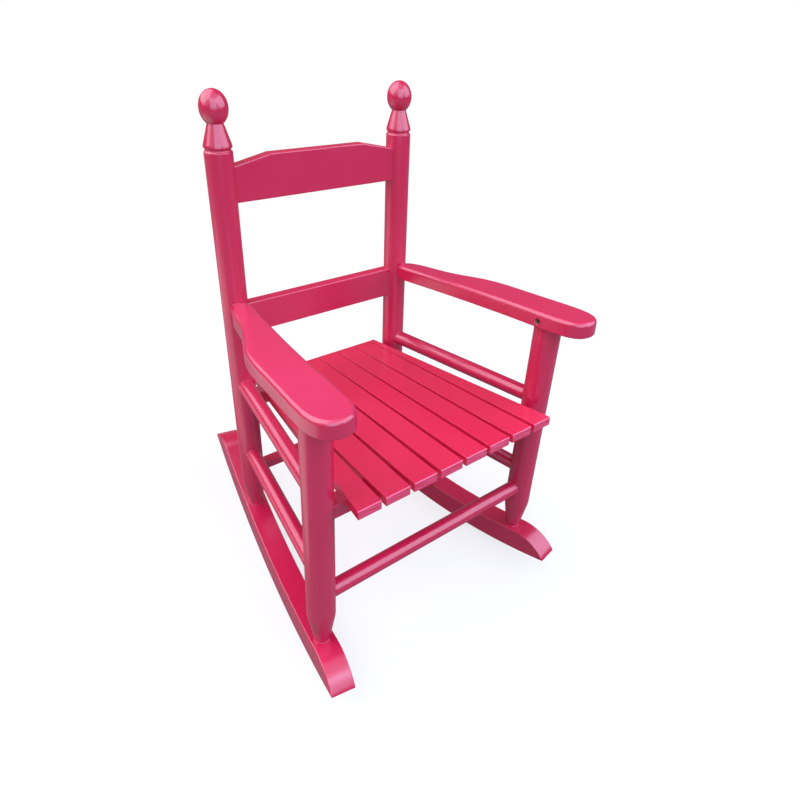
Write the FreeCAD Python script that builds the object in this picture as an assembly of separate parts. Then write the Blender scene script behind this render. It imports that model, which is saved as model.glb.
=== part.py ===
import FreeCAD, Part
import math
import os

os.makedirs("parts", exist_ok=True)

# A child's rocking chair of turned and sawn wood. It faces -Y and stands on the floor at Z zero.
# Lengths are millimetres, angles are degrees.

# Rockers: arcs sawn from board, splayed towards the front, reaching from their lowest point to
# the front and to the rear
rocker_radius = 680.0
rocker_front_reach = 218.3
rocker_rear_reach = 230.0
rocker_height = 32.0
rocker_width = 29.0
rocker_nose = 54.0
rocker_tip = 1.6
rocker_round = 1.4

# Stance: the posts and legs stand on the rockers, clear of the seat's rear and front corners
seat_post_clearance = 8.15
seat_leg_clearance = 3.25
foot_run = 234.0
rear_foot_back = 82.0

# Rear posts, turned with a ball finial. The lean is how far back the groove stands from the foot
post_diameter = 30.0
post_lean = 69.4
post_foot_diameter = 17.0
post_taper = 36.0
groove_above_crest = 16.0
groove_width = 1.4
groove_depth = 1.6
cone_height = 21.0
neck_diameter = 17.0
ball_diameter = 29.6
ball_length = 35.8

# Front legs. The lean is how far back the arm's middle plane stands from the foot
leg_diameter = 32.5
leg_lean = 41.5
leg_foot_diameter = 18.6
leg_taper = 42.0

# Tenons under the feet and on top of the legs
foot_tenon_diameter = 11.0
foot_tenon_length = 13.0
leg_tenon_diameter = 16.0
leg_tenon_length = 12.0

# Rungs and stretchers, with heights measured along the posts and legs from the rockers. The front
# stretcher drops below the lower rungs
rung_diameter = 19.0
rung_depth = 11.0
rung_chamfer = 1.0
upper_rung_rear_height = 192.4
upper_rung_front_height = 210.0
lower_rung_rear_height = 87.6
lower_rung_front_height = 99.0
front_stretcher_drop = 28.5
rear_stretcher_height = 57.9
rear_stretcher_depth = 15.6
rear_stretcher_thickness = 10.2

# Back rails between the posts
rail_thickness = 14.0
rail_depth = 7.0
rail_round = 1.6
crest_end_height = 453.2
crest_end_depth = 39.1
crest_rise = 8.9
crest_flat_length = 122.0
lower_rail_top_height = 297.9
lower_rail_depth = 38.4

# Seat of slats on two rails. The outer two slats are sawn narrow at the rear
seat_front_height = 209.1
seat_rear_height = 185.0
seat_front_overhang = 40.4
seat_rear_overhang = 15.8
seat_front_width = 279.4
seat_rear_width = 191.2
slat_count = 8
slat_thickness = 10.6
slat_round = 1.2
slat_front_gap = 5.4
slat_rear_gap = 1.0
outer_slat_front_width = 28.4
outer_slat_rear_width = 7.0
seat_rail_depth = 20.0
seat_rail_height = 16.4

# Arms, with their middle plane at these heights on the legs and posts
arm_thickness = 18.5
arm_width = 49.0
arm_front_height = 322.0
arm_rear_height = 295.6
arm_top_round = 5.0
arm_under_round = 1.5
arm_tenon_diameter = 17.0
arm_tenon_clearance = 0.2
arm_lead_share = 0.6
arm_arc_tolerance = 0.08
# Plan of an arm: (share of its width outwards, share of the way from leg to post), from the post
# round the outer edge, the front and the inner edge
arm_outline_shares = [
    (0.000, 0.941), (0.140, 0.927), (0.245, 0.884), (0.300, 0.821), (0.320, 0.750),
    (0.359, 0.675), (0.429, 0.609), (0.520, 0.546), (0.596, 0.488), (0.637, 0.429),
    (0.649, 0.375), (0.637, 0.308), (0.608, 0.229), (0.580, 0.146), (0.551, 0.050),
    (0.518, -0.042), (0.469, -0.111), (0.378, -0.163), (0.224, -0.204), (0.000, -0.225),
    (-0.214, -0.224), (-0.378, -0.206), (-0.465, -0.174), (-0.494, -0.125), (-0.488, -0.067),
    (-0.461, 0.008), (-0.422, 0.092), (-0.384, 0.188), (-0.353, 0.292), (-0.327, 0.396),
    (-0.306, 0.508), (-0.292, 0.625), (-0.284, 0.750), (-0.278, 0.850), (-0.252, 0.903),
    (-0.170, 0.936),
]

# Screws: one through each arm into its leg, one up through each rocker into each foot,
# and one up through each seat rail into each slat
screw_diameter = 4.0
screw_head_diameter = 7.4
screw_head_height = 2.6
screw_cross_length = 4.6
screw_cross_width = 1.0
screw_cross_depth = 1.5
arm_screw_seat_share = 0.339
arm_screw_length = 26.0
arm_screw_drop = 2.0
rocker_screw_inset = 7.0
rocker_screw_length = 45.0
slat_screw_inset = 3.4
slat_screw_bite = 5.6
screw_head_clearance = 0.3

# Fits: the space left round a piece in its socket, and how far a cutter runs past a face
fit = 0.08
overrun = 3.0

rear_spacing = seat_rear_width + post_diameter + seat_post_clearance * 2
front_spacing = seat_front_width + leg_diameter + seat_leg_clearance * 2
rear_half = rear_spacing / 2
front_half = front_spacing / 2
crest_bottom_height = crest_end_height - crest_end_depth
lower_rail_bottom_height = lower_rail_top_height - lower_rail_depth
groove_height = crest_end_height + groove_above_crest
post_tilt = math.degrees(math.asin(post_lean / groove_height))
leg_tilt = math.degrees(math.asin(leg_lean / arm_front_height))
post_radius = post_diameter / 2
leg_radius = leg_diameter / 2
rung_radius = rung_diameter / 2
across = FreeCAD.Vector(1, 0, 0)
upright = FreeCAD.Vector(0, 0, 1)
zero = FreeCAD.Vector(0, 0, 0)

splay = math.degrees(math.atan2(front_half - rear_half, foot_run))
splay_sine = math.sin(math.radians(splay))
splay_cosine = math.cos(math.radians(splay))
front_foot_ahead = math.hypot(front_half - rear_half, foot_run) - rear_foot_back
low_half = rear_half + rear_foot_back * splay_sine
rocker_top_radius = rocker_radius - rocker_height
low_place = FreeCAD.Vector(low_half, (rocker_front_reach - rocker_rear_reach) / 2 * splay_cosine, 0)


def arc_height(radius, along):
    return rocker_radius - math.sqrt(radius * radius - along * along)


def leaning(angle):
    return FreeCAD.Vector(0, math.sin(math.radians(angle)), math.cos(math.radians(angle)))


def leaned(shape, angle, place):
    turned = shape.copy()
    turned.rotate(zero, across, -angle)
    turned.translate(place)
    return turned


def mirrored(shape):
    return shape.mirror(zero, across)


def save(name, shape):
    shape.exportStep("parts/" + name + ".step")


def save_pair(name, right):
    save(name + "_right", right)
    save(name + "_left", mirrored(right))


rear_foot_y = low_place.y + rear_foot_back * splay_cosine
rear_foot = FreeCAD.Vector(rear_half, rear_foot_y, arc_height(rocker_top_radius, rear_foot_back))
front_foot_y = rear_foot_y - foot_run
front_foot = FreeCAD.Vector(front_half, front_foot_y, arc_height(rocker_top_radius, front_foot_ahead))
post_up = leaning(post_tilt)
leg_up = leaning(leg_tilt)


def on_post(height):
    return rear_foot + post_up * height


def on_leg(height):
    return front_foot + leg_up * height


def centred(place):
    return FreeCAD.Vector(0, place.y, place.z)


def dowel(start, end, radius, slack):
    way = (end - start).normalize()
    return Part.makeCylinder(radius + slack, (end - start).Length + slack * 2, start - way * slack, way)


def bar(length, depth, height, slack):
    # A bar along X, centred on its length and depth, with its underside at zero
    corner = FreeCAD.Vector(-length / 2 - slack, -depth / 2 - slack, -slack)
    return Part.makeBox(length + slack * 2, depth + slack * 2, height + slack * 2, corner)


def prism(corners, depth):
    return Part.Face(Part.makePolygon(corners + corners[:1])).extrude(depth)


def rounded(shape, radius, wanted):
    return shape.makeFillet(radius, [edge for edge in shape.Edges if wanted(edge)])


def runs_across(edge):
    return abs(edge.tangentAt(edge.FirstParameter).x) > fit


def turned_about_axis(outline):
    return Part.Face(Part.Wire(outline)).revolve(zero, upright, 360)


def lines_through(points):
    return [Part.makeLine(first, second) for first, second in zip(points, points[1:])]


def screw(start, way, length, slack):
    # The head's underside is at the start, and the shank runs on from there
    shank = Part.makeCylinder(screw_diameter / 2 + slack, length + slack, start, way)
    if slack:
        return shank
    head = Part.makeCylinder(screw_head_diameter / 2, screw_head_height, start, way * -1)
    whole = head.fuse(shank)
    slot = bar(screw_cross_length, screw_cross_width, screw_cross_depth, 0)
    cross = slot.fuse(bar(screw_cross_width, screw_cross_length, screw_cross_depth, 0))
    cross.Placement = FreeCAD.Placement(start - way * screw_head_height, FreeCAD.Rotation(upright, way))
    return whole.cut(cross).removeSplitter()


def screw_bore(start, way, length):
    return Part.makeCylinder(screw_head_diameter / 2 + screw_head_clearance, length, start, way * -1)


# Posts and legs as turned, before their sockets are cut

cone_base = groove_height + groove_width + groove_depth
cone_top = cone_base + groove_depth + cone_height
neck_radius = neck_diameter / 2
ball_radius = ball_diameter / 2
neck_drop = ball_length / 2 * math.sqrt(1 - (neck_radius / ball_radius) ** 2)
ball_middle = cone_top + neck_drop
ball_top = ball_middle + ball_length / 2
post_points = [
    FreeCAD.Vector(0, 0, -post_taper),
    FreeCAD.Vector(post_foot_diameter / 2, 0, -post_taper),
    FreeCAD.Vector(post_foot_diameter / 2, 0, 0),
    FreeCAD.Vector(post_radius, 0, post_taper),
    FreeCAD.Vector(post_radius, 0, groove_height - groove_depth),
    FreeCAD.Vector(post_radius - groove_depth, 0, groove_height),
    FreeCAD.Vector(post_radius - groove_depth, 0, groove_height + groove_width),
    FreeCAD.Vector(post_radius, 0, cone_base),
    FreeCAD.Vector(post_radius, 0, cone_base + groove_depth),
    FreeCAD.Vector(neck_radius, 0, cone_top),
]
ball_peak = FreeCAD.Vector(0, 0, ball_top)
ball_side = FreeCAD.Vector(ball_radius, 0, ball_middle)
ball = Part.Ellipse(ball_peak, ball_side, FreeCAD.Vector(0, 0, ball_middle))
ball_arc = Part.ArcOfEllipse(ball, 0, ball.parameter(post_points[-1]))
post_outline = lines_through(post_points)
post_outline.append(ball_arc.toShape())
post_outline.append(Part.makeLine(ball_peak, post_points[0]))
post_right = leaned(turned_about_axis(post_outline), post_tilt, rear_foot)

leg_points = [
    FreeCAD.Vector(0, 0, -leg_taper),
    FreeCAD.Vector(leg_foot_diameter / 2, 0, -leg_taper),
    FreeCAD.Vector(leg_foot_diameter / 2, 0, 0),
    FreeCAD.Vector(leg_radius, 0, leg_taper),
    FreeCAD.Vector(leg_radius, 0, arm_front_height + arm_thickness),
    FreeCAD.Vector(0, 0, arm_front_height + arm_thickness),
]
leg_right = leaned(turned_about_axis(lines_through(leg_points + leg_points[:1])), leg_tilt, front_foot)

# Rocker seen from the side, with its nose arcs tangent to its top


def rocker_end(reach):
    lead_along = reach - rocker_nose
    lead = FreeCAD.Vector(lead_along, 0, arc_height(rocker_top_radius, lead_along))
    bottom = FreeCAD.Vector(reach, 0, arc_height(rocker_radius, reach))
    tip = bottom + upright * rocker_tip
    chord = tip - lead
    lead_way = math.asin(lead_along / rocker_top_radius)
    bend = math.atan2(chord.z, chord.x) - lead_way
    half_way = lead_way + bend / 2
    half_chord = chord.Length / 2 / math.cos(bend / 2)
    middle = lead + FreeCAD.Vector(math.cos(half_way), 0, math.sin(half_way)) * half_chord
    return [bottom, tip, middle, lead]


front_end = rocker_end(rocker_front_reach)
rear_end = [FreeCAD.Vector(-place.x, place.y, place.z) for place in rocker_end(rocker_rear_reach)]
rocker_outline = [
    Part.Arc(rear_end[0], zero, front_end[0]).toShape(),
    Part.makeLine(front_end[0], front_end[1]),
    Part.Arc(front_end[1], front_end[2], front_end[3]).toShape(),
    Part.Arc(front_end[3], FreeCAD.Vector(0, 0, rocker_height), rear_end[3]).toShape(),
    Part.Arc(rear_end[3], rear_end[2], rear_end[1]).toShape(),
    Part.makeLine(rear_end[1], rear_end[0]),
]
rocker_side = Part.Face(Part.Wire(rocker_outline))
rocker_plain = rocker_side.extrude(FreeCAD.Vector(0, rocker_width, 0))
rocker_plain.translate(FreeCAD.Vector(0, -rocker_width / 2, 0))


def on_rocker_flank(edge):
    return abs(edge.tangentAt(edge.FirstParameter).y) < fit


rocker_right = rounded(rocker_plain, rocker_round, on_rocker_flank)
rocker_right.rotate(zero, upright, splay - 90)
rocker_right.translate(low_place)
rocker_across = FreeCAD.Vector(splay_cosine, splay_sine, 0)
rocker_middle = low_place + upright * rocker_radius
above_rocker = Part.makeCylinder(
    rocker_top_radius, front_spacing, rocker_middle - rocker_across * front_half, rocker_across
)
post_right = post_right.common(above_rocker)
leg_right = leg_right.common(above_rocker)

# Arm planes and the seat plane, each through one mark on the legs and one on the posts

arm_front = on_leg(arm_front_height)
arm_rear = on_post(arm_rear_height)
arm_tilt = math.degrees(math.atan2(arm_front.z - arm_rear.z, arm_rear.y - arm_front.y))
arm_reach = math.hypot(arm_front.z - arm_rear.z, arm_rear.y - arm_front.y)
seat_front = centred(on_leg(seat_front_height))
seat_rear = centred(on_post(seat_rear_height))
seat_tilt = math.degrees(math.atan2(seat_front.z - seat_rear.z, seat_rear.y - seat_front.y))
seat_reach = (seat_rear - seat_front).Length

# Arm: outline sawn from board, edges rounded over, with a round tenon for the post

arm_shift = (rear_half - front_half) / arm_reach
arm_places = []
for out_share, along_share in arm_outline_shares:
    along = along_share * arm_reach
    arm_places.append(FreeCAD.Vector(arm_shift * along + out_share * arm_width, along, -arm_thickness / 2))
arm_curve = Part.BSplineCurve()
arm_curve.interpolate(Points=arm_places, PeriodicFlag=True)
arm_face = Part.Face(Part.Wire([arc.toShape() for arc in arm_curve.toBiArcs(arm_arc_tolerance)]))
arm_plain = arm_face.extrude(FreeCAD.Vector(0, 0, arm_thickness))


def on_arm_top(edge):
    return edge.BoundBox.ZMin > arm_thickness / 2 - fit


def on_arm_underside(edge):
    return edge.BoundBox.ZMax < fit - arm_thickness / 2


arm_plain = rounded(arm_plain, arm_top_round, on_arm_top)
arm_plain = rounded(arm_plain, arm_under_round, on_arm_underside)
arm_right = leaned(arm_plain, arm_tilt, arm_front)
arm_way = (arm_rear - arm_front).normalize()
arm_tenon_end = arm_rear - arm_way * (rail_thickness / 2 + arm_tenon_clearance)
arm_tenon_start = arm_rear - arm_way * (post_radius * (1 + arm_lead_share))
post_round = dowel(on_post(groove_height), on_post(post_taper), post_radius, 0)
arm_right = arm_right.cut(post_round)
arm_right = arm_right.fuse(dowel(arm_tenon_start, arm_tenon_end, arm_tenon_diameter / 2, 0)).removeSplitter()
post_right = post_right.cut(dowel(arm_tenon_start, arm_tenon_end, arm_tenon_diameter / 2, fit))

# Leg top: flush under the arm, with a round tenon into it

arm_under = Part.makeBox(
    arm_width * 2, arm_reach, arm_width, FreeCAD.Vector(-arm_width, -arm_reach / 2, -arm_thickness / 2)
)
leg_right = leg_right.cut(leaned(arm_under, arm_tilt, arm_front))
leg_top = on_leg(arm_front_height - arm_thickness / 2)
leg_tenon = [leg_top - leg_up * leg_tenon_length, leg_top + leg_up * leg_tenon_length]
leg_right = leg_right.fuse(dowel(*leg_tenon, leg_tenon_diameter / 2, 0)).removeSplitter()
arm_right = arm_right.cut(dowel(*leg_tenon, leg_tenon_diameter / 2, fit))

# Feet: round tenons down into the rockers


def foot_tenon(foot, up, slack):
    return dowel(foot - up * foot_tenon_length, foot + up * foot_tenon_length, foot_tenon_diameter / 2, slack)


post_right = post_right.fuse(foot_tenon(rear_foot, post_up, 0)).removeSplitter()
leg_right = leg_right.fuse(foot_tenon(front_foot, leg_up, 0)).removeSplitter()
rocker_right = rocker_right.cut(foot_tenon(rear_foot, post_up, fit))
rocker_right = rocker_right.cut(foot_tenon(front_foot, leg_up, fit))

# Side rungs: plain dowels let into the posts and legs


def rung_ends(rear, front):
    way = (front - rear).normalize()
    return [rear + way * (post_radius - rung_depth), front - way * (leg_radius - rung_depth)]


def rung(ends):
    plain = dowel(*ends, rung_radius, 0)
    return plain.makeChamfer(rung_chamfer, [edge for edge in plain.Edges if len(edge.Vertexes) == 1])


upper_rung_ends = rung_ends(on_post(upper_rung_rear_height), on_leg(upper_rung_front_height))
lower_rung_ends = rung_ends(on_post(lower_rung_rear_height), on_leg(lower_rung_front_height))
for ends in (upper_rung_ends, lower_rung_ends):
    post_right = post_right.cut(dowel(*ends, rung_radius, fit))
    leg_right = leg_right.cut(dowel(*ends, rung_radius, fit))

# Front stretcher: a dowel from leg to leg

front_stretcher_height = lower_rung_front_height - front_stretcher_drop
front_stretcher_end = on_leg(front_stretcher_height) - across * (leg_radius - rung_depth)
front_stretcher_ends = [FreeCAD.Vector(-front_stretcher_end.x, front_stretcher_end.y, front_stretcher_end.z)]
front_stretcher_ends.append(front_stretcher_end)
leg_right = leg_right.cut(dowel(*front_stretcher_ends, rung_radius, fit))

# Rear stretcher and back rails: flat bars let into the posts

rail_length = rear_spacing - post_diameter + rail_depth * 2


def rear_stretcher_bar(slack):
    plain = bar(rail_length, rear_stretcher_depth, rear_stretcher_thickness, slack)
    return leaned(plain, post_tilt, centred(on_post(rear_stretcher_height - rear_stretcher_thickness / 2)))


def lower_rail_bar(slack):
    plain = bar(rail_length, rail_thickness, lower_rail_depth, slack)
    if not slack:
        plain = rounded(plain, rail_round, runs_across)
    return leaned(plain, post_tilt, centred(on_post(lower_rail_bottom_height)))


def crest_mortise(slack):
    plain = bar(rail_length, rail_thickness, crest_end_depth, slack)
    return leaned(plain, post_tilt, centred(on_post(crest_bottom_height)))


crest_face = -rail_thickness / 2
crest_corners = [
    FreeCAD.Vector(-rail_length / 2, crest_face, 0),
    FreeCAD.Vector(rail_length / 2, crest_face, 0),
    FreeCAD.Vector(rail_length / 2, crest_face, crest_end_depth),
    FreeCAD.Vector(rear_half - post_radius, crest_face, crest_end_depth),
    FreeCAD.Vector(crest_flat_length / 2, crest_face, crest_end_depth + crest_rise),
    FreeCAD.Vector(-crest_flat_length / 2, crest_face, crest_end_depth + crest_rise),
    FreeCAD.Vector(post_radius - rear_half, crest_face, crest_end_depth),
    FreeCAD.Vector(-rail_length / 2, crest_face, crest_end_depth),
]
crest_plain = rounded(prism(crest_corners, FreeCAD.Vector(0, rail_thickness, 0)), rail_round, runs_across)
crest = leaned(crest_plain, post_tilt, centred(on_post(crest_bottom_height)))
for pocket in (rear_stretcher_bar(fit), lower_rail_bar(fit), crest_mortise(fit)):
    post_right = post_right.cut(pocket)

# Seat rails: square bars under the slats, let into the legs and posts

seat_rail_drop = slat_thickness + seat_rail_height


def seat_rail(length, place, slack):
    plain = bar(length, seat_rail_depth, seat_rail_height, slack)
    plain.translate(FreeCAD.Vector(0, 0, -seat_rail_drop))
    return leaned(plain, seat_tilt, place)


front_rail_length = front_spacing - leg_diameter + rail_depth * 2
rear_rail_length = rear_spacing - post_diameter + rail_depth * 2
leg_right = leg_right.cut(seat_rail(front_rail_length, seat_front, fit))
post_right = post_right.cut(seat_rail(rear_rail_length, seat_rear, fit))
front_rail = seat_rail(front_rail_length, seat_front, 0)
rear_rail = seat_rail(rear_rail_length, seat_rear, 0)

# Slats fan out towards the front, and the outermost two are sawn to the seat's sides

seat_ends = (-seat_front_overhang, seat_reach + seat_rear_overhang)


def slat_edges(index, end):
    seat_width = (seat_front_width, seat_rear_width)[end]
    outer_width = (outer_slat_front_width, outer_slat_rear_width)[end]
    gap = (slat_front_gap, slat_rear_gap)[end]
    inner_width = (seat_width - outer_width * 2 - gap * (slat_count - 1)) / (slat_count - 2)
    widths = [outer_width] + [inner_width] * (slat_count - 2) + [outer_width]
    low = sum(widths[:index]) + gap * index - seat_width / 2
    return low, low + widths[index]


def slat(index):
    front_low, front_high = slat_edges(index, 0)
    rear_low, rear_high = slat_edges(index, 1)
    corners = [
        FreeCAD.Vector(front_low, seat_ends[0], -slat_thickness),
        FreeCAD.Vector(front_high, seat_ends[0], -slat_thickness),
        FreeCAD.Vector(rear_high, seat_ends[1], -slat_thickness),
        FreeCAD.Vector(rear_low, seat_ends[1], -slat_thickness),
    ]
    plain = prism(corners, FreeCAD.Vector(0, 0, slat_thickness))
    return rounded(plain, slat_round, on_slat_top)


def on_slat_top(edge):
    return edge.BoundBox.ZMin > -fit


def slat_middle(index, along):
    share = (along - seat_ends[0]) / (seat_ends[1] - seat_ends[0])
    front_middle = sum(slat_edges(index, 0)) / 2
    rear_middle = sum(slat_edges(index, 1)) / 2
    return front_middle + (rear_middle - front_middle) * share


seat_up = leaning(seat_tilt)
slats = [leaned(slat(index), seat_tilt, seat_front) for index in range(slat_count)]
slat_screws = []
for along in (0, seat_reach):
    for index in range(slat_count):
        head_drop = seat_rail_drop - slat_screw_inset
        flat_place = Part.Vertex(slat_middle(index, along), along, -head_drop)
        seat_place = leaned(flat_place, seat_tilt, seat_front).Point
        length = head_drop - slat_thickness + slat_screw_bite
        slat_screws.append(screw(seat_place, seat_up, length, 0))
        hole = screw(seat_place, seat_up, length, fit)
        slats[index] = slats[index].cut(hole)
        bore = screw_bore(seat_place, seat_up, slat_screw_inset + overrun)
        if along:
            rear_rail = rear_rail.cut(hole).cut(bore)
        else:
            front_rail = front_rail.cut(hole).cut(bore)

# Screws through the arms into the leg tenons, and up through the rockers into the feet

arm_screw_place = on_leg(arm_front_height - arm_screw_drop) - across * (arm_width * arm_screw_seat_share)
arm_screw_hole = screw(arm_screw_place, across, arm_screw_length, fit)
arm_right = arm_right.cut(arm_screw_hole).cut(screw_bore(arm_screw_place, across, arm_width))
leg_right = leg_right.cut(arm_screw_hole)
arm_screw = screw(arm_screw_place, across, arm_screw_length, 0)

rocker_screws = []
for foot, up in ((rear_foot, post_up), (front_foot, leg_up)):
    seat_place = foot - up * (rocker_height - rocker_screw_inset)
    hole = screw(seat_place, up, rocker_screw_length, fit)
    rocker_right = rocker_right.cut(hole).cut(screw_bore(seat_place, up, rocker_height))
    post_right = post_right.cut(hole)
    leg_right = leg_right.cut(hole)
    rocker_screws.append(screw(seat_place, up, rocker_screw_length, 0))

save_pair("rear_post", post_right)
save_pair("front_leg", leg_right)
save_pair("rocker", rocker_right)
save_pair("armrest", arm_right)
save_pair("upper_side_rung", rung(upper_rung_ends))
save_pair("lower_side_rung", rung(lower_rung_ends))
save("crest_rail", crest)
save("lower_back_rail", lower_rail_bar(0))
save("front_stretcher", rung(front_stretcher_ends))
save("rear_stretcher", rear_stretcher_bar(0))
save("front_seat_rail", front_rail)
save("rear_seat_rail", rear_rail)
for index, piece in enumerate(slats):
    save("seat_slat_" + str(index + 1), piece)
save("arm_screws", Part.makeCompound([arm_screw, mirrored(arm_screw)]))
save("slat_screws", Part.makeCompound(slat_screws))
save("rocker_screws", Part.makeCompound(rocker_screws + [mirrored(piece) for piece in rocker_screws]))
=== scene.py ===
import math

import bmesh
import bpy
from mathutils import Matrix, Vector


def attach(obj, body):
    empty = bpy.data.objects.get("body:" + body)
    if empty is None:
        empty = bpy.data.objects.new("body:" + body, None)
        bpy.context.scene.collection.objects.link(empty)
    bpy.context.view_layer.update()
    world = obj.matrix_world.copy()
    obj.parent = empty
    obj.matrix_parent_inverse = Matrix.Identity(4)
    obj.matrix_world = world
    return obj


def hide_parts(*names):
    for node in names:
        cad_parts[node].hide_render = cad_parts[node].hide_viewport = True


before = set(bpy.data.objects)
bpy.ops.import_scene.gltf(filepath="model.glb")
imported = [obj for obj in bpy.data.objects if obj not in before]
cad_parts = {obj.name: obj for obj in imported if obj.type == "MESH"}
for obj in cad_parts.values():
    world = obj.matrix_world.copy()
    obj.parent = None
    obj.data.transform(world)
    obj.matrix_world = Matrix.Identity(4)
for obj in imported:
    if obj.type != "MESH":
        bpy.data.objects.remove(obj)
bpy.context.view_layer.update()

# Rockers: two arcs sawn from board, splayed towards the front, with sanded arrises and noses that
# run out to a thin tip. Two holes bored from below take the screws that hold the post and the leg.

rear_half = 0.11875
front_half = 0.1592
foot_run = 0.234
rear_foot_back = 0.082
rocker_radius = 0.680
rocker_height = 0.032
rocker_width = 0.029
rocker_front_reach = 0.2183
rocker_rear_reach = 0.230
rocker_nose = 0.054
rocker_tip = 0.0016
rocker_round = 0.0014
rocker_steps = 56
nose_steps = 12
arris_segments = 3
flat_share = 0.9
weld_gap = 1e-6

rocker_top_radius = rocker_radius - rocker_height
splay = math.atan2(front_half - rear_half, foot_run)
front_foot_ahead = math.hypot(front_half - rear_half, foot_run) - rear_foot_back
low_place = Vector((
    rear_half + rear_foot_back * math.sin(splay),
    (rocker_front_reach - rocker_rear_reach) / 2 * math.cos(splay),
    0,
))
rocker_middle = low_place + Vector((0, 0, rocker_radius))
rocker_across = Vector((math.cos(splay), math.sin(splay), 0))
rocker_along = Vector((math.sin(splay), -math.cos(splay), 0))

paint_deep = (0.55, 0.0080, 0.050, 1)
paint_light = (0.62, 0.0115, 0.063, 1)
# Pale pink painted on as sheen and highlight: on top faces, and on the slats' sawn ends.
painted_sheen_colour = (0.84, 0.0800, 0.180, 1)
paint_roughness = 0.24
paint_shine = 1.0
tone_share = 0.75
tone_gloss = 0.08
peel_gloss = 0.05
tone_size = 0.055
peel_size = 0.0017
wave_size = 0.034
grain_size = 0.0014
grain_stretch = 0.045
peel_depth = 0.000012
wave_depth = 0.00016
grain_depth = 0.000014
# Painted sheen: faces that look up from this much to this much are painted towards the pale pink.
top_sheen_from = 0.7
top_sheen_full = 0.97
end_from = 0.8
end_full = 0.95
# Slats' sawn ends: lines of grain in the relief, painted paler as partly sheen; a painted highlight
# on the top arrises.
end_line_size = 0.0013
end_line_depth = 0.00006
end_line_middle = 0.4
end_line_strength = 2.8
end_highlight_strength = 4
sharp_angle = math.radians(48)
bore_wood = (0.34, 0.115, 0.095, 1)
bore_wood_pale = (0.68, 0.23, 0.19, 1)
bore_roughness = 0.8


class Finish:
    """A value in a material's nodes: sums and products of such values add Math nodes."""

    def __init__(self, tree, socket=None):
        self.tree = tree
        self.socket = socket

    def node(self, kind, settings=None, sockets=None, output=0):
        made = self.tree.nodes.new(kind)
        for name, value in (settings or {}).items():
            setattr(made, name, value)
        for name, value in (sockets or {}).items():
            if isinstance(value, Finish):
                self.tree.links.new(value.socket, made.inputs[name])
            else:
                made.inputs[name].default_value = value
        return Finish(self.tree, made.outputs[output])

    def math(self, operation, first, second):
        return self.node("ShaderNodeMath", {"operation": operation}, {0: first, 1: second})

    def __add__(self, other):
        return self.math("ADD", self, other)

    def __sub__(self, other):
        return self.math("SUBTRACT", self, other)

    def __mul__(self, other):
        return self.math("MULTIPLY", self, other)

    def cloud(self, place, size, detail):
        sockets = {"Vector": place, "Scale": 1 / size, "Detail": detail}
        return self.node("ShaderNodeTexNoise", sockets=sockets)

    def stretched(self, factors):
        return self.node("ShaderNodeVectorMath", {"operation": "MULTIPLY"}, {0: self, 1: factors})

    def ramp(self, start, full):
        """Rises from 0 where the value is start to 1 where it is full."""
        sockets = {"Value": self, "From Min": start, "From Max": full}
        return self.node("ShaderNodeMapRange", sockets=sockets)

    def blend(self, first, second):
        """The colour that lies between two others by this value as the share."""
        sockets = {"Factor": self, 6: first, 7: second}
        return self.node("ShaderNodeMix", {"data_type": "RGBA"}, sockets, 2)

    def feed(self, shader, name):
        self.tree.links.new(self.socket, shader.inputs[name])


def new_material(name):
    material = bpy.data.materials.new(name)
    material.use_nodes = True
    return material, material.node_tree.nodes["Principled BSDF"], Finish(material.node_tree)


def painted_wood(name, grain, top_sheen, sawn_ends, tones):
    """Satin paint sprayed over sanded wood, with grain and the spray's peel faint in its sheen.

    Top sheen is how far the top faces are painted paler as sheen. Sawn ends show lines of grain,
    painted paler as partly sheen, and a painted highlight along their top arrises. The tones are
    the deep and the light colour that the paint varies between.
    """
    material, shader, film = new_material(name)
    place = film.node("ShaderNodeTexCoord", output="Object")
    turn = Vector(grain).rotation_difference(Vector((1, 0, 0))).to_euler()
    along = film.node("ShaderNodeMapping", sockets={"Vector": place, "Rotation": turn})
    fibres = along.stretched((grain_stretch, 1, 1))
    tone = film.cloud(place, tone_size, 3)
    peel = film.cloud(place, peel_size, 2)
    wave = film.cloud(place, wave_size, 1)
    grain_lines = film.cloud(fibres, grain_size, 3)
    facing = film.node("ShaderNodeNewGeometry", output="Normal")
    upward = film.node("ShaderNodeSeparateXYZ", sockets={"Vector": facing}, output="Z")
    # Painted sheen: faces that look up are painted paler, scaled by the piece's own amount.
    painted_sheen = upward.ramp(top_sheen_from, top_sheen_full) * top_sheen
    relief = peel * peel_depth + wave * wave_depth + grain_lines * grain_depth
    if sawn_ends:
        end_lines = film.cloud(along.stretched((1, grain_stretch, 1)), end_line_size, 2)
        lengthwise = {0: facing, 1: grain}
        way = film.node("ShaderNodeVectorMath", {"operation": "DOT_PRODUCT"}, lengthwise, "Value")
        # Painted highlight on the top arrises of the sawn ends; the end lines are painted paler,
        # partly grain and partly sheen.
        edge = way * way * upward * upward * end_highlight_strength
        ends = (way * way).ramp(end_from, end_full)
        painted_sheen = painted_sheen + ends * (end_lines - end_line_middle) * end_line_strength + edge
        relief = relief + ends * end_lines * end_line_depth
    shade = tone * tone_share + grain_lines * (1 - tone_share)
    fresh = shade.blend(tones[0], tones[1])
    # The painted sheen and highlights pull the paint towards the pale pink.
    painted_sheen.blend(fresh, painted_sheen_colour).feed(shader, "Base Color")
    smoothest = paint_roughness - (tone_gloss + peel_gloss) / 2
    (tone * tone_gloss + peel * peel_gloss + smoothest).feed(shader, "Roughness")
    shader.inputs["Specular IOR Level"].default_value = paint_shine
    film.node("ShaderNodeBump", sockets={"Height": relief, "Distance": 1.0}).feed(shader, "Normal")
    return material


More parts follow.
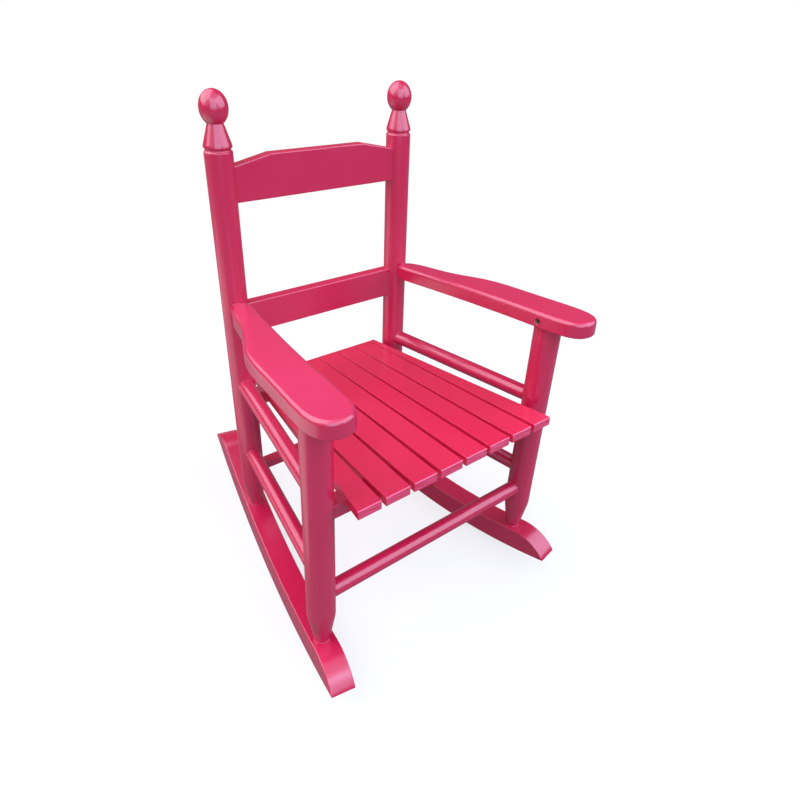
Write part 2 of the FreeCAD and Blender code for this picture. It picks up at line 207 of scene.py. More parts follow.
def bare_wood(name):
    """Unpainted wood inside a bore, dark with its own shade."""
    material, shader, wood = new_material(name)
    place = wood.node("ShaderNodeTexCoord", output="Object")
    speckle = wood.cloud(place, grain_size, 4)
    speckle.blend(bore_wood, bore_wood_pale).feed(shader, "Base Color")
    shader.inputs["Roughness"].default_value = bore_roughness
    return material


bore_finish = bare_wood("bare_bore_wood")


def new_object(name, shape, *materials):
    mesh = bpy.data.meshes.new(name)
    shape.to_mesh(mesh)
    for material in materials:
        mesh.materials.append(material)
    made = bpy.data.objects.new(name, mesh)
    bpy.context.scene.collection.objects.link(made)
    return made


def wooden_piece(node, shape, grain, top_sheen=0.0, sawn_ends=False, tones=(paint_deep, paint_light)):
    """Makes the painted piece that stands for a node, smooth over arrises and flat on faces."""
    paint = painted_wood(node + "_paint", grain, top_sheen, sawn_ends, tones)
    made = new_object(node + "_painted", shape, paint, bore_finish)
    made.data.shade_smooth()
    made.data.set_sharp_from_angle(angle=sharp_angle)
    flats = made.modifiers.new("flats", "WEIGHTED_NORMAL")
    flats.keep_sharp = True
    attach(made, "root")
    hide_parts(node)
    return made


def wooden_pair(node, shape, grain, right_sheen=0.0, left_sheen=0.0):
    """Makes the right piece and its mirrored left twin."""
    wooden_piece(node + "_right", shape, grain, right_sheen)
    bmesh.ops.scale(shape, vec=(-1, 1, 1), verts=shape.verts)
    bmesh.ops.recalc_face_normals(shape, faces=shape.faces)
    wooden_piece(node + "_left", shape, (-grain[0], grain[1], grain[2]), left_sheen)
    shape.free()


def final_mesh(made):
    """The mesh that an object has when its modifiers or its curve have been worked out."""
    graph = bpy.context.evaluated_depsgraph_get()
    return bpy.data.meshes.new_from_object(made.evaluated_get(graph))


def carved(shape, cutter, operation="DIFFERENCE"):
    """The shape with the cutter taken away from it, or joined to it."""
    body = new_object("carved_body", shape, None, bore_finish)
    tool = new_object("carving_tool", cutter, None, bore_finish)
    step = body.modifiers.new("carve", "BOOLEAN")
    step.operation = operation
    step.object = tool
    step.solver = "EXACT"
    result = final_mesh(body)
    shape.clear()
    shape.from_mesh(result)
    for used in (body, tool):
        mesh = used.data
        bpy.data.objects.remove(used)
        bpy.data.meshes.remove(mesh)
    bpy.data.meshes.remove(result)
    cutter.free()


def rounded(shape, edges, radius, segments=arris_segments):
    bmesh.ops.bevel(
        shape, geom=list(edges), offset=radius, segments=segments, profile=0.5, affect="EDGES",
        material=-1,
    )


def arc_height(radius, along):
    return rocker_radius - math.sqrt(radius ** 2 - along ** 2)


def grow_nose(shape, face, reach, side):
    """Draws a rocker's end out to its tip: the top follows an arc tangent to the rocker's top."""
    lead_along = reach - rocker_nose
    lead = Vector((lead_along, 0, arc_height(rocker_top_radius, lead_along)))
    tip = Vector((reach, 0, arc_height(rocker_radius, reach) + rocker_tip))
    chord = tip - lead
    lead_way = math.asin(lead_along / rocker_top_radius)
    bend = math.atan2(chord.z, chord.x) - lead_way
    low_start = rocker_radius * math.sin(lead_way)
    for step in range(1, nose_steps + 1):
        share = step / nose_steps
        way = lead_way + bend * share
        gone = chord.length * math.sin(bend * share) / math.sin(bend)
        top = lead + Vector((math.cos(way), 0, math.sin(way))) * gone
        low_along = low_start + (reach - low_start) * share
        low = Vector((low_along, 0, arc_height(rocker_radius, low_along)))
        grown = bmesh.ops.extrude_face_region(shape, geom=[face])["geom"]
        bmesh.ops.delete(shape, geom=[face], context="FACES_ONLY")
        face = next(item for item in grown if isinstance(item, bmesh.types.BMFace))
        middle_height = face.calc_center_median().z
        for corner in face.verts:
            goal = top if corner.co.z > middle_height else low
            corner.co = (goal.x * side, corner.co.y, goal.z)


def rocker_shape():
    shape = bmesh.new()
    start = math.asin((rocker_rear_reach - rocker_nose) / rocker_top_radius)
    end = math.asin((rocker_front_reach - rocker_nose) / rocker_top_radius)
    centre = Vector((0, 0, rocker_radius))
    corners = [
        shape.verts.new((0, side * rocker_width / 2, height))
        for side, height in ((-1, 0), (1, 0), (1, rocker_height), (-1, rocker_height))
    ]
    for first, second in zip(corners, corners[1:] + corners[:1]):
        shape.edges.new((first, second))
    bmesh.ops.rotate(shape, cent=centre, matrix=Matrix.Rotation(start, 3, "Y"), verts=shape.verts)
    section = shape.verts[:] + shape.edges[:]
    bmesh.ops.spin(
        shape, geom=section, cent=centre, axis=(0, 1, 0), angle=-start - end, steps=rocker_steps
    )
    ends = bmesh.ops.holes_fill(shape, edges=shape.edges)["faces"]
    ends.sort(key=lambda face: face.calc_center_median().x)
    grow_nose(shape, ends[0], rocker_rear_reach, -1)
    grow_nose(shape, ends[1], rocker_front_reach, 1)
    bmesh.ops.recalc_face_normals(shape, faces=shape.faces)
    flanks = {face for face in shape.faces if abs(face.normal.y) > flat_share}
    arrises = [edge for edge in shape.edges if len(flanks.intersection(edge.link_faces)) == 1]
    rounded(shape, arrises, rocker_round)
    place = Matrix.Translation(low_place) @ Matrix.Rotation(splay - math.pi / 2, 4, "Z")
    bmesh.ops.transform(shape, matrix=place, verts=shape.verts)
    return shape


groove_height = 0.4692
post_lean = 0.0694
arm_front_height = 0.322
leg_lean = 0.0415

post_tilt = math.asin(post_lean / groove_height)
leg_tilt = math.asin(leg_lean / arm_front_height)
rear_foot_y = low_place.y + rear_foot_back * math.cos(splay)
front_foot_y = rear_foot_y - foot_run
rear_foot = Vector((rear_half, rear_foot_y, arc_height(rocker_top_radius, rear_foot_back)))
front_foot = Vector((front_half, front_foot_y, arc_height(rocker_top_radius, front_foot_ahead)))


def leaning(place, tilt):
    """From a piece's own axes, with Z along its length, to its place on the chair, tipped back."""
    return Matrix.Translation(place) @ Matrix.Rotation(-tilt, 4, "X")


post_place = leaning(rear_foot, post_tilt)
leg_place = leaning(front_foot, leg_tilt)

screw_bore_radius = 0.004
rocker_screw_seat = 0.025
bore_steps = 24


def round_cutter(start, end, radius):
    """A plain round cutter from start to end."""
    shape = bmesh.new()
    way = end - start
    place = Matrix.Translation((start + end) / 2) @ way.to_track_quat("Z", "Y").to_matrix().to_4x4()
    bmesh.ops.create_cone(
        shape, cap_ends=True, segments=bore_steps, radius1=radius, radius2=radius, depth=way.length,
        matrix=place,
    )
    for face in shape.faces:
        face.material_index = 1
    return shape


rocker = rocker_shape()
for foot_place in (post_place, leg_place):
    seat = foot_place @ Vector((0, 0, -rocker_screw_seat))
    below = foot_place @ Vector((0, 0, -2 * rocker_height))
    carved(rocker, round_cutter(below, seat, screw_bore_radius))
wooden_pair("rocker", rocker, rocker_along)

# Rear posts: turned from one length of wood each, with a tapered foot, a groove under a coned
# collar and a ball finial. Their feet are glued and screwed into the rockers.

post_radius = 0.015
post_foot_radius = 0.0085
post_taper = 0.036
groove_width = 0.0014
groove_depth = 0.0016
cone_height = 0.021
neck_radius = 0.0085
ball_radius = 0.0148
ball_half = 0.0179
foot_tenon_radius = 0.0055
foot_tenon_length = 0.013
bead = 0.0005
bead_rise = 0.0012
bead_reach = bead_rise * 1.01
bead_shares = (0, 0.35, 0.65, 0.85, 1)
turned_steps = 72
ball_steps = 20
ring_segments = 4
shoulder_round = 0.004
groove_round = 0.0005
collar_round = 0.0016


def turned(profile):
    """Spins a profile of (radius, height) points about the Z axis."""
    shape = bmesh.new()
    marks = [shape.verts.new((radius, 0, height)) for radius, height in profile]
    for first, second in zip(marks, marks[1:]):
        shape.edges.new((first, second))
    bmesh.ops.spin(
        shape, geom=shape.verts[:] + shape.edges[:], cent=(0, 0, 0), axis=(0, 0, 1), angle=math.tau,
        steps=turned_steps, use_merge=True,
    )
    bmesh.ops.remove_doubles(shape, verts=shape.verts, dist=weld_gap)
    bmesh.ops.recalc_face_normals(shape, faces=shape.faces)
    return shape


def soften_ring(shape, height, radius):
    """Rounds the ring of edges that a turned shape has at one height."""
    ring = [
        edge for edge in shape.edges if all(abs(end.co.z - height) < weld_gap for end in edge.verts)
    ]
    rounded(shape, ring, radius, ring_segments)


def bead_profile(radius, height, way):
    """A bead of paint where a round piece of this radius meets a surface at this height."""
    return [
        (radius + bead * share ** 2, height + way * bead_rise * (1 - share) ** 2)
        for share in bead_shares
    ]


def way_to_round(place, way, middle, axis, radius):
    """How far it is along way from place to the far side of a round bar."""
    offset = place - middle
    offset = offset - axis * offset.dot(axis)
    flat_way = way - axis * way.dot(axis)
    square = flat_way.length_squared
    half = offset.dot(flat_way) / square
    return math.sqrt(half ** 2 - (offset.length_squared - radius ** 2) / square) - half


def settle_foot(shape, place):
    """Slides the points of a turned foot along its length until its bead lies on the rocker."""
    back = place.inverted()
    middle = back @ rocker_middle
    axis = back.to_3x3() @ rocker_across
    down = Vector((0, 0, -1))
    for point in shape.verts:
        if point.co.z < bead_reach:
            flat = Vector((point.co.x, point.co.y, 0))
            point.co.z -= way_to_round(flat, down, middle, axis, rocker_top_radius)


cone_base = groove_height + groove_width + groove_depth
cone_top = cone_base + groove_depth + cone_height
neck_angle = math.acos(neck_radius / ball_radius)
ball_middle = cone_top + ball_half * math.sin(neck_angle)
foot_profile = [
    (0, -foot_tenon_length),
    (foot_tenon_radius, -foot_tenon_length),
    (foot_tenon_radius, -bead),
]
post_profile = foot_profile + bead_profile(post_foot_radius, 0, 1)[::-1] + [
    (post_radius, post_taper),
    (post_radius, groove_height - groove_depth),
    (post_radius - groove_depth, groove_height),
    (post_radius - groove_depth, groove_height + groove_width),
    (post_radius, cone_base),
    (post_radius, cone_base + groove_depth),
    (neck_radius, cone_top),
]
for step in range(1, ball_steps + 1):
    angle = -neck_angle + (math.pi / 2 + neck_angle) * step / ball_steps
    post_profile.append((ball_radius * math.cos(angle), ball_middle + ball_half * math.sin(angle)))

post = turned(post_profile)
soften_ring(post, post_taper, shoulder_round)
groove_floor = (groove_height, groove_height + groove_width)
for height in (groove_height - groove_depth, *groove_floor, cone_base):
    soften_ring(post, height, groove_round)
soften_ring(post, cone_base + groove_depth, collar_round)
settle_foot(post, post_place)
bmesh.ops.transform(post, matrix=post_place, verts=post.verts)
wooden_pair("rear_post", post, post_place.to_3x3() @ Vector((0, 0, 1)))

# Front legs: turned like the posts but stouter, with a longer taper at the foot. The top is a round
# tenon glued up into the arm.

leg_radius = 0.01625
leg_foot_radius = 0.0093
leg_taper = 0.042
arm_thickness = 0.0185
leg_tenon_radius = 0.008
leg_tenon_length = 0.012
arm_rear_height = 0.2956

arm_front = leg_place @ Vector((0, 0, arm_front_height))
arm_rear = post_place @ Vector((0, 0, arm_rear_height))
arm_reach = math.hypot(arm_front.z - arm_rear.z, arm_rear.y - arm_front.y)
arm_tilt = math.atan2(arm_front.z - arm_rear.z, arm_rear.y - arm_front.y)
arm_place = leaning(arm_front, arm_tilt)
leg_top = arm_front_height - arm_thickness / 2

leg_profile = foot_profile + bead_profile(leg_foot_radius, 0, 1)[::-1] + [(leg_radius, leg_taper)]
leg_profile += bead_profile(leg_radius, leg_top, -1) + [
    (leg_tenon_radius, leg_top),
    (leg_tenon_radius, leg_top + leg_tenon_length),
    (0, leg_top + leg_tenon_length),
]
leg = turned(leg_profile)
soften_ring(leg, leg_taper, shoulder_round)
for point in leg.verts:
    if point.co.z > leg_top - bead_reach:
        point.co.z -= point.co.y * math.tan(arm_tilt - leg_tilt)
settle_foot(leg, leg_place)
bmesh.ops.transform(leg, matrix=leg_place, verts=leg.verts)
wooden_pair("front_leg", leg, leg_place.to_3x3() @ Vector((0, 0, 1)))

# Rungs: plain dowels let into drilled sockets, two along each side and one across the front. Paint
# has built up into a thin bead round each end.

rung_radius = 0.0095
rung_depth = 0.011
rung_chamfer = 0.001
upper_rung_heights = (0.1924, 0.210)
lower_rung_heights = (0.0876, 0.099)
front_stretcher_height = 0.0705


def rung_shape(start, end, start_axis, end_axis, start_radius, end_radius):
    """A dowel from one post or leg to another, whose beads follow the round surfaces it enters."""
    way = end - start
    length = way.length
    low, high = start_radius - rung_depth, length - end_radius + rung_depth
    profile = [(0, low), (rung_radius - rung_chamfer, low), (rung_radius, low + rung_chamfer)]
    profile += bead_profile(rung_radius, start_radius, 1)[::-1]
    profile += bead_profile(rung_radius, length - end_radius, -1)
    profile += [(rung_radius, high - rung_chamfer), (rung_radius - rung_chamfer, high), (0, high)]
    shape = turned(profile)
    place = Matrix.Translation(start) @ way.to_track_quat("Z", "Y").to_matrix().to_4x4()
    turn = place.to_3x3().inverted()
    up = Vector((0, 0, 1))
    for point in shape.verts:
        height = point.co.z
        flat = Vector((point.co.x, point.co.y, 0))
        if start_radius - bead < height < length / 2:
            surface = way_to_round(flat, up, Vector(), turn @ start_axis, start_radius)
            point.co.z += surface - start_radius
        elif length / 2 < height < length - end_radius + bead:
            surface = way_to_round(flat, -up, Vector(), turn @ end_axis, end_radius)
            point.co.z -= surface - end_radius
    bmesh.ops.transform(shape, matrix=place, verts=shape.verts)
    return shape


post_up = post_place.to_3x3() @ Vector((0, 0, 1))
leg_up = leg_place.to_3x3() @ Vector((0, 0, 1))
for node, (rear_height, front_height) in (
    ("upper_side_rung", upper_rung_heights), ("lower_side_rung", lower_rung_heights)
):
    start = post_place @ Vector((0, 0, rear_height))
    end = leg_place @ Vector((0, 0, front_height))
    rung = rung_shape(start, end, post_up, leg_up, post_radius, leg_radius)
    wooden_pair(node, rung, (end - start).normalized())

stretcher_end = leg_place @ Vector((0, 0, front_stretcher_height))
stretcher_start = Vector((-stretcher_end.x, stretcher_end.y, stretcher_end.z))
stretcher = rung_shape(stretcher_start, stretcher_end, leg_up, leg_up, leg_radius, leg_radius)
wooden_piece("front_stretcher", stretcher, (1, 0, 0))
stretcher.free()

# Rear stretcher and back rails: flat bars with sanded arrises, let into mortises in the posts. The
# crest rail's top is sawn with a sloped shoulder at each end.

rail_thickness = 0.014
rail_depth = 0.007
rail_round = 0.0016
rear_stretcher_height = 0.0579
rear_stretcher_depth = 0.0156
rear_stretcher_thickness = 0.0102
rear_stretcher_round = 0.0008
crest_bottom = 0.4141
crest_end_depth = 0.0391
crest_rise = 0.0089
crest_flat_half = 0.061
lower_rail_bottom = 0.2595
lower_rail_depth = 0.0384

rail_half = rear_half - post_radius + rail_depth


def thicken(shape, way):
    """Gives a flat face depth along way."""
    grown = bmesh.ops.extrude_face_region(shape, geom=shape.faces[:])["geom"]
    moved = [item for item in grown if isinstance(item, bmesh.types.BMVert)]
    bmesh.ops.translate(shape, vec=way, verts=moved)
    bmesh.ops.recalc_face_normals(shape, faces=shape.faces)


def board(outline, depth, radius):
    """Saws an outline of (across, up) points from board and rounds its long arrises."""
    shape = bmesh.new()
    shape.faces.new([shape.verts.new((x, -depth / 2, z)) for x, z in outline])
    thicken(shape, (0, depth, 0))
    arrises = [
        edge for edge in shape.edges if abs((edge.verts[1].co - edge.verts[0].co).x) > radius
    ]
    rounded(shape, arrises, radius)
    return shape


def back_rail(node, outline, depth, radius, height):
    shape = board(outline, depth, radius)
    centre = post_place @ Vector((0, 0, height))
    place = leaning(Vector((0, centre.y, centre.z)), post_tilt)
    bmesh.ops.transform(shape, matrix=place, verts=shape.verts)
    wooden_piece(node, shape, (1, 0, 0))
    shape.free()


def bar_outline(half, height):
    return [(-half, 0), (half, 0), (half, height), (-half, height)]


post_gap_half = rear_half - post_radius
crest_top = crest_end_depth + crest_rise
crest_outline = [
    (-rail_half, 0), (rail_half, 0), (rail_half, crest_end_depth), (post_gap_half, crest_end_depth),
    (crest_flat_half, crest_top), (-crest_flat_half, crest_top), (-post_gap_half, crest_end_depth),
    (-rail_half, crest_end_depth),
]
back_rail("crest_rail", crest_outline, rail_thickness, rail_round, crest_bottom)
lower_outline = bar_outline(rail_half, lower_rail_depth)
back_rail("lower_back_rail", lower_outline, rail_thickness, rail_round, lower_rail_bottom)
back_rail(
    "rear_stretcher", bar_outline(rail_half, rear_stretcher_thickness), rear_stretcher_depth,
    rear_stretcher_round, rear_stretcher_height - rear_stretcher_thickness / 2,
)

# Seat rails: square bars under the slats, let into the legs in front and the posts behind, and
# bored from below for the screws that hold the slats.

seat_front_height = 0.2091
seat_rear_height = 0.185
seat_front_overhang = 0.0404
seat_rear_overhang = 0.0158
seat_front_width = 0.2794
seat_rear_width = 0.1912
slat_count = 8
slat_thickness = 0.0106
slat_front_gap = 0.0054
slat_rear_gap = 0.001
outer_slat_front_width = 0.0284
outer_slat_rear_width = 0.007
seat_rail_depth = 0.020
seat_rail_height = 0.0164
seat_rail_round = 0.0010
slat_screw_inset = 0.0034

seat_front = leg_place @ Vector((0, 0, seat_front_height))
seat_rear = post_place @ Vector((0, 0, seat_rear_height))
seat_tilt = math.atan2(seat_front.z - seat_rear.z, seat_rear.y - seat_front.y)
seat_reach = math.hypot(seat_front.z - seat_rear.z, seat_rear.y - seat_front.y)
seat_place = leaning(Vector((0, seat_front.y, seat_front.z)), seat_tilt)
seat_start = -seat_front_overhang
seat_end = seat_reach + seat_rear_overhang
seat_drop = slat_thickness + seat_rail_height


def slat_edges(index, seat_width, outer_width, gap):
    inner_width = (seat_width - outer_width * 2 - gap * (slat_count - 1)) / (slat_count - 2)
    widths = [outer_width] + [inner_width] * (slat_count - 2) + [outer_width]
    low = sum(widths[:index]) + gap * index - seat_width / 2
    return low, low + widths[index]


def slat_ends(index):
    front = slat_edges(index, seat_front_width, outer_slat_front_width, slat_front_gap)
    rear = slat_edges(index, seat_rear_width, outer_slat_rear_width, slat_rear_gap)
    return front, rear


def slat_middle(index, along):
    front, rear = slat_ends(index)
    share = (along - seat_start) / (seat_end - seat_start)
    return sum(front) / 2 + (sum(rear) - sum(front)) / 2 * share


for node, along, half in (
    ("front_seat_rail", 0, front_half - leg_radius + rail_depth),
    ("rear_seat_rail", seat_reach, rail_half),
):
    rail = board(bar_outline(half, seat_rail_height), seat_rail_depth, seat_rail_round)
    bmesh.ops.translate(rail, vec=(0, along, -seat_drop), verts=rail.verts)
    for index in range(slat_count):
        mouth = Vector((slat_middle(index, along), along, -seat_drop - slat_screw_inset))
        seat = mouth + Vector((0, 0, 2 * slat_screw_inset))
        carved(rail, round_cutter(mouth, seat, screw_bore_radius))
    bmesh.ops.transform(rail, matrix=seat_place, verts=rail.verts)
    wooden_piece(node, rail, (1, 0, 0))
    rail.free()

# Seat slats: thin boards that fan out towards the front, with their top arrises rounded. The outer
# two are sawn narrow at the rear to pass between the posts.

slat_end_round = 0.0012
slat_side_round = 0.00025
# The slats' tops get a little painted sheen.
seat_top_sheen = 0.09
# The slats get a lighter, redder copy of the paint: painted light standing for the warmer light on
# the seat.
seat_lit_tones = ((0.65, 0.0085, 0.044, 1), (0.73, 0.0125, 0.0555, 1))

slat_way = seat_place.to_3x3() @ Vector((0, 1, 0))
for index in range(slat_count):
    front, rear = slat_ends(index)
    slat = bmesh.new()
    corners = [
        (front[0], seat_start), (front[1], seat_start), (rear[1], seat_end), (rear[0], seat_end)
    ]
    slat.faces.new([slat.verts.new((x, y, -slat_thickness)) for x, y in corners])
    thicken(slat, (0, 0, slat_thickness))
    ends = {face for face in slat.faces if abs(face.normal.y) > flat_share}
    tops = {face for face in slat.faces if face.normal.z > flat_share}
    top_arrises = [
        edge for edge in slat.edges if ends & set(edge.link_faces) and tops & set(edge.link_faces)
    ]
    rounded(slat, top_arrises, slat_end_round)
    flanks = {face for face in slat.faces if abs(face.normal.x) > flat_share}
    arrises = [edge for edge in slat.edges if len(flanks.intersection(edge.link_faces)) == 1]
    rounded(slat, arrises, slat_side_round)
    bmesh.ops.transform(slat, matrix=seat_place, verts=slat.verts)
    wooden_piece("seat_slat_" + str(index + 1), slat, slat_way, seat_top_sheen, True, seat_lit_tones)
    slat.free()

# Arms: sawn from board to a long curve, wide over the leg and narrow at the post, with the top edge
# rounded over. A round tenon at the rear enters the post, and a screw in the inner side the leg.

arm_width = 0.049
arm_top_round = 0.005
arm_top_segments = 6
arm_under_round = 0.0015
arm_outline_steps = 6
arm_tenon_radius = 0.0085
arm_tenon_clearance = 0.0002
arm_lead_share = 0.6
arm_screw_seat_share = 0.339
arm_screw_drop = 0.002
# The arms' tops get painted sheen, less on the right arm than on the left.
right_arm_top_sheen = 0.14
left_arm_top_sheen = 0.25
arm_outline_shares = [
    (0.000, 0.941), (0.140, 0.927), (0.245, 0.884), (0.300, 0.821), (0.320, 0.750),
    (0.359, 0.675), (0.429, 0.609), (0.520, 0.546), (0.596, 0.488), (0.637, 0.429),
    (0.649, 0.375), (0.637, 0.308), (0.608, 0.229), (0.580, 0.146), (0.551, 0.050),
    (0.5167, -0.042), (0.4677, -0.111), (0.378, -0.163), (0.224, -0.204), (0.000, -0.225),
    (-0.214, -0.224), (-0.378, -0.206), (-0.465, -0.174), (-0.494, -0.125), (-0.488, -0.067),
    (-0.461, 0.008), (-0.422, 0.092), (-0.384, 0.188), (-0.353, 0.292), (-0.327, 0.396),
    (-0.306, 0.508), (-0.292, 0.625), (-0.284, 0.750), (-0.278, 0.850), (-0.252, 0.903),
    (-0.170, 0.936),
]

arm_shift = (rear_half - front_half) / arm_reach
arm_curve = bpy.data.curves.new("arm_outline", "CURVE")
arm_curve.dimensions = "2D"
arm_curve.fill_mode = "NONE"
arm_curve.resolution_u = arm_outline_steps
outline = arm_curve.splines.new("BEZIER")
outline.bezier_points.add(len(arm_outline_shares) - 1)
outline.use_cyclic_u = True
for mark, (out_share, along_share) in zip(outline.bezier_points, arm_outline_shares):
    along = along_share * arm_reach
    mark.co = (arm_shift * along + out_share * arm_width, along, 0)
    mark.handle_left_type = "AUTO"
    mark.handle_right_type = "AUTO"
drawn = bpy.data.objects.new("arm_outline", arm_curve)
bpy.context.scene.collection.objects.link(drawn)
sawn = final_mesh(drawn)
bpy.data.objects.remove(drawn)
bpy.data.curves.remove(arm_curve)

arm = bmesh.new()
arm.from_mesh(sawn)
bpy.data.meshes.remove(sawn)
bmesh.ops.remove_doubles(arm, verts=arm.verts, dist=weld_gap)
bmesh.ops.contextual_create(arm, geom=arm.edges[:])
bmesh.ops.translate(arm, vec=(0, 0, -arm_thickness / 2), verts=arm.verts)
thicken(arm, (0, 0, arm_thickness))
upper = [edge for edge in arm.edges if all(end.co.z > 0 for end in edge.verts)]
rounded(arm, upper, arm_top_round, arm_top_segments)
underside = weld_gap - arm_thickness / 2
under = [edge for edge in arm.edges if all(end.co.z < underside for end in edge.verts)]
rounded(arm, under, arm_under_round)
bmesh.ops.transform(arm, matrix=arm_place, verts=arm.verts)

arm_way = (arm_rear - arm_front).normalized()
tenon_end = rail_thickness / 2 + arm_tenon_clearance
tenon_root = post_radius * (1 + arm_lead_share)
tenon_place = Matrix.Translation(arm_rear) @ (-arm_way).to_track_quat("Z", "Y").to_matrix().to_4x4()
tenon_profile = [(0, tenon_end), (arm_tenon_radius, tenon_end)]
tenon_profile += bead_profile(arm_tenon_radius, post_radius, 1)[::-1]
tenon_profile += [(arm_tenon_radius, tenon_root), (0, tenon_root)]
tenon = turned(tenon_profile)
post_axis = tenon_place.to_3x3().inverted() @ post_up
for point in tenon.verts:
    if post_radius - bead < point.co.z < post_radius + bead_reach:
        flat = Vector((point.co.x, point.co.y, 0))
        surface = way_to_round(flat, Vector((0, 0, 1)), Vector(), post_axis, post_radius)
        point.co.z += surface - post_radius
bmesh.ops.transform(tenon, matrix=tenon_place, verts=tenon.verts)
carved(arm, tenon, "UNION")

arm_screw_seat = leg_place @ Vector((0, 0, arm_front_height - arm_screw_drop))
arm_screw_seat.x -= arm_width * arm_screw_seat_share
arm_screw_mouth = arm_screw_seat - Vector((arm_width, 0, 0))
carved(arm, round_cutter(arm_screw_mouth, arm_screw_seat, screw_bore_radius))
wooden_pair("armrest", arm, arm_way, right_arm_top_sheen, left_arm_top_sheen)

# Screws: steel wood screws with cross recesses, sunk in the arms, the seat rails and the rockers.
# Their drawn nodes are kept, and get a dull zinc finish browned by handling.

screw_steel = (0.44, 0.23, 0.17, 1)
screw_stain = (0.16, 0.09, 0.05, 1)
stain_size = 0.0022
stain_roughness = 0.3
screw_roughness = 0.25
screw_metal = 0.9

steel, steel_shader, metal = new_material("screw_steel_finish")
stain = metal.cloud(metal.node("ShaderNodeTexCoord", output="Object"), stain_size, 4)
stain.blend(screw_steel, screw_stain).feed(steel_shader, "Base Color")
(stain * stain_roughness + screw_roughness).feed(steel_shader, "Roughness")
steel_shader.inputs["Metallic"].default_value = screw_metal
for node in ("arm_screws", "slat_screws", "rocker_screws"):
    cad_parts[node].material_slots[0].material = steel

# Floor: a plain pale sheet under the chair, near white to the camera but for the chair's soft
# shadow. To the paint it is darker, so that its mirrored white doesn't turn the paint milky.

floor_reach = 60
floor_tone = (0.17, 0.17, 0.17, 1)
floor_pale = (0.90, 0.83, 0.81, 1)
floor_white_share = 0.72
mirrored_share = 0.1
floor_fade_start = 0.35
floor_fade_end = 1.6


def white_rays(nodes):
    """How much of the white a ray sees: all from the camera and a share of it when mirrored."""
    seen = nodes.node("ShaderNodeLightPath", output="Is Camera Ray")
    seen = seen + nodes.node("ShaderNodeLightPath", output="Is Glossy Ray") * mirrored_share
    return seen + nodes.node("ShaderNodeLightPath", output="Is Transmission Ray")


ground = bmesh.new()
bmesh.ops.create_grid(ground, x_segments=1, y_segments=1, size=floor_reach)
paper, plain_shader, sheet = new_material("pale_floor")
paper.node_tree.nodes.remove(plain_shader)
place = sheet.node("ShaderNodeTexCoord", output="Object")
away = sheet.node("ShaderNodeVectorMath", {"operation": "LENGTH"}, {0: place}, "Value")
fade = {
    "Value": away, "From Min": floor_fade_start, "From Max": floor_fade_end,
    "To Min": floor_white_share,
}
whiteness = sheet.node("ShaderNodeMapRange", {"interpolation_type": "SMOOTHSTEP"}, fade)
matt = sheet.node("ShaderNodeBsdfDiffuse", sockets={"Color": floor_tone})
pale = sheet.node("ShaderNodeBsdfDiffuse", sockets={"Color": floor_pale})
glow = sheet.node("ShaderNodeEmission", sockets={"Strength": 1.0})
shown = sheet.node("ShaderNodeMixShader", sockets={0: whiteness, 1: pale, 2: glow})
mixed = sheet.node("ShaderNodeMixShader", sockets={0: white_rays(sheet), 1: matt, 2: shown})
mixed.feed(paper.node_tree.nodes["Material Output"], "Surface")
floor = new_object("floor", ground, paper)
ground.free()

# Studio: a dim world that the camera sees as white, with wide soft panels in front, on the left,
# behind on the left and overhead, and a small pale board lying on the floor at the left.

world_light = 0.08
world = bpy.data.worlds.new("pale_studio")
world.use_nodes = True
bpy.context.scene.world = world
sky = Finish(world.node_tree)
world.node_tree.nodes.remove(world.node_tree.nodes["Background"])
dim = sky.node("ShaderNodeBackground", sockets={"Strength": world_light})
white = sky.node("ShaderNodeBackground", sockets={"Color": (1, 1, 1, 1), "Strength": 1.0})
mixed = sky.node("ShaderNodeMixShader", sockets={0: white_rays(sky), 1: dim, 2: white})
mixed.feed(world.node_tree.nodes["World Output"], "Surface")
blue_white = (0.44, 0.71, 1.0)
cool_white = (0.66, 0.74, 1.0)
pale_white = (0.82, 0.80, 1.0)
plain_white = (1.0, 0.97, 0.95)
panel_distance = 3.6
panel_target = Vector((0, 0, 0.28))
low_board_place = (-0.75, 0.35, 0.01)


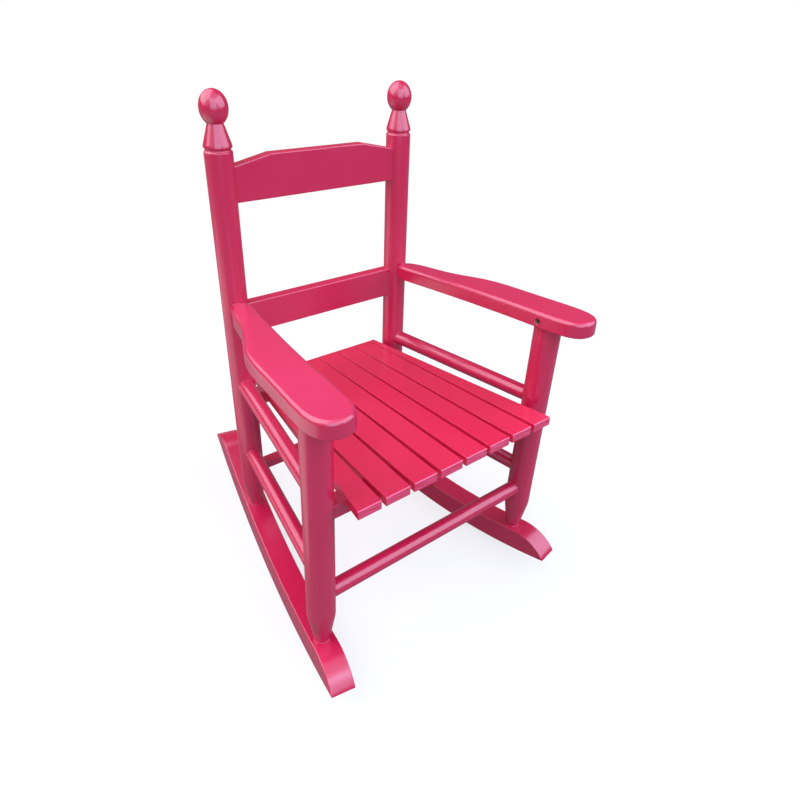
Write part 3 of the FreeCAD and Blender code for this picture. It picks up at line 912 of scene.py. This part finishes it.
def soft_panel(name, bearing, height, size, colour, brightness):
    """A flat panel that faces the chair.

    Bearing and height are in degrees, and the bearing runs from the front round by the right.
    """
    turn, rise = math.radians(bearing), math.radians(height)
    flat = math.cos(rise)
    way = Vector((flat * math.sin(turn), -flat * math.cos(turn), math.sin(rise)))
    lamp = bpy.data.lights.new(name, "AREA")
    lamp.shape = "RECTANGLE"
    lamp.size, lamp.size_y = size
    lamp.color = colour
    lamp.energy = brightness * math.pi * size[0] * size[1]
    made = bpy.data.objects.new(name, lamp)
    made.location = panel_target + way * panel_distance
    made.rotation_euler = way.to_track_quat("Z", "Y").to_euler()
    made.visible_camera = False
    bpy.context.scene.collection.objects.link(made)
    return made


soft_panel("front_left_panel", -25, 34, (3.5, 3.4), blue_white, 3.3)
soft_panel("front_right_panel", 48, 36, (4.2, 3.4), cool_white, 3.4)
soft_panel("left_panel", -105, 36, (5.4, 3.0), plain_white, 0.75)
soft_panel("rear_left_panel", -138, 44, (5.5, 4.6), pale_white, 2.75)
soft_panel("top_panel", -30, 80, (3.9, 3.0), cool_white, 1.2)
low_board = soft_panel("left_board", -90, 0, (0.9, 0.9), plain_white, 0.7)
low_board.location = low_board_place
low_board.rotation_euler = (math.pi, 0, 0)

# Camera: held above the chair's left front corner, looking down at the seat. Its place and focus
# were fitted to the photo's straight edges.

camera_place = (-0.40197, -0.47949, 0.72237)
camera_right = Vector((0.7845177, -0.6084137, 0.1198528))
camera_up = Vector((0.2960820, 0.5373435, 0.7896818))
image_size = 800
camera_focus = 631.876
camera_middle = (396.328, 386.983)
sensor_width = 36
nearest = 0.01

lens = bpy.data.cameras.new("camera")
lens.sensor_width = sensor_width
lens.lens = camera_focus / image_size * sensor_width
lens.shift_x = 0.5 - camera_middle[0] / image_size
lens.shift_y = camera_middle[1] / image_size - 0.5
lens.clip_start = nearest
camera = bpy.data.objects.new("camera", lens)
turn = Matrix((camera_right, camera_up, camera_right.cross(camera_up))).transposed().to_4x4()
camera.matrix_world = Matrix.Translation(camera_place) @ turn
bpy.context.scene.collection.objects.link(camera)
bpy.context.scene.camera = camera
bpy.context.scene.view_settings.view_transform = "Standard"
